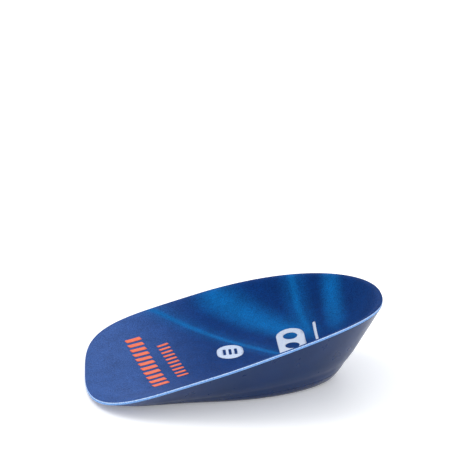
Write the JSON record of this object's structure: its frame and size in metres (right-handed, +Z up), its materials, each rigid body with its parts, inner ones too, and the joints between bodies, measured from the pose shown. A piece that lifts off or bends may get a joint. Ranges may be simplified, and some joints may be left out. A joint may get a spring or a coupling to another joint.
{
  "type": "cushioned heel insole",
  "caption": "Cushioned heel insole: a clear blue gel cup with a cell-patterned gel pad underneath and a printed knit cover over foam.",
  "frame": {"origin": "on the floor plane, under the middle of the outline", "axes": "+X towards the thin front end, +Y across, +Z up out of the dish"},
  "size_m": [0.0935, 0.07, 0.0266],
  "materials": {
    "cup_gel": "glossy translucent navy gel",
    "pad_gel": "glossy translucent deep blue gel",
    "film": "thin clear adhesive film",
    "foam": "pale blue fine-celled foam, cut edge",
    "knit": "brushed polyester knit with a soft streaked print",
    "orange_ink": "heat-transferred ink",
    "grey_ink": "heat-transferred ink",
    "silver_ink": "silvery heat-transferred ink"
  },
  "bodies": {
    "root": {"gel_cup": "cup_gel", "heel_pad": "pad_gel", "adhesive_film": "film", "cover_foam": "foam", "cover_fabric": "knit", "print_bold_bars": "orange_ink", "print_light_bars": "orange_ink", "print_badge": "grey_ink", "print_plate": "silver_ink", "print_line": "silver_ink"}
  },
  "joints": []
}
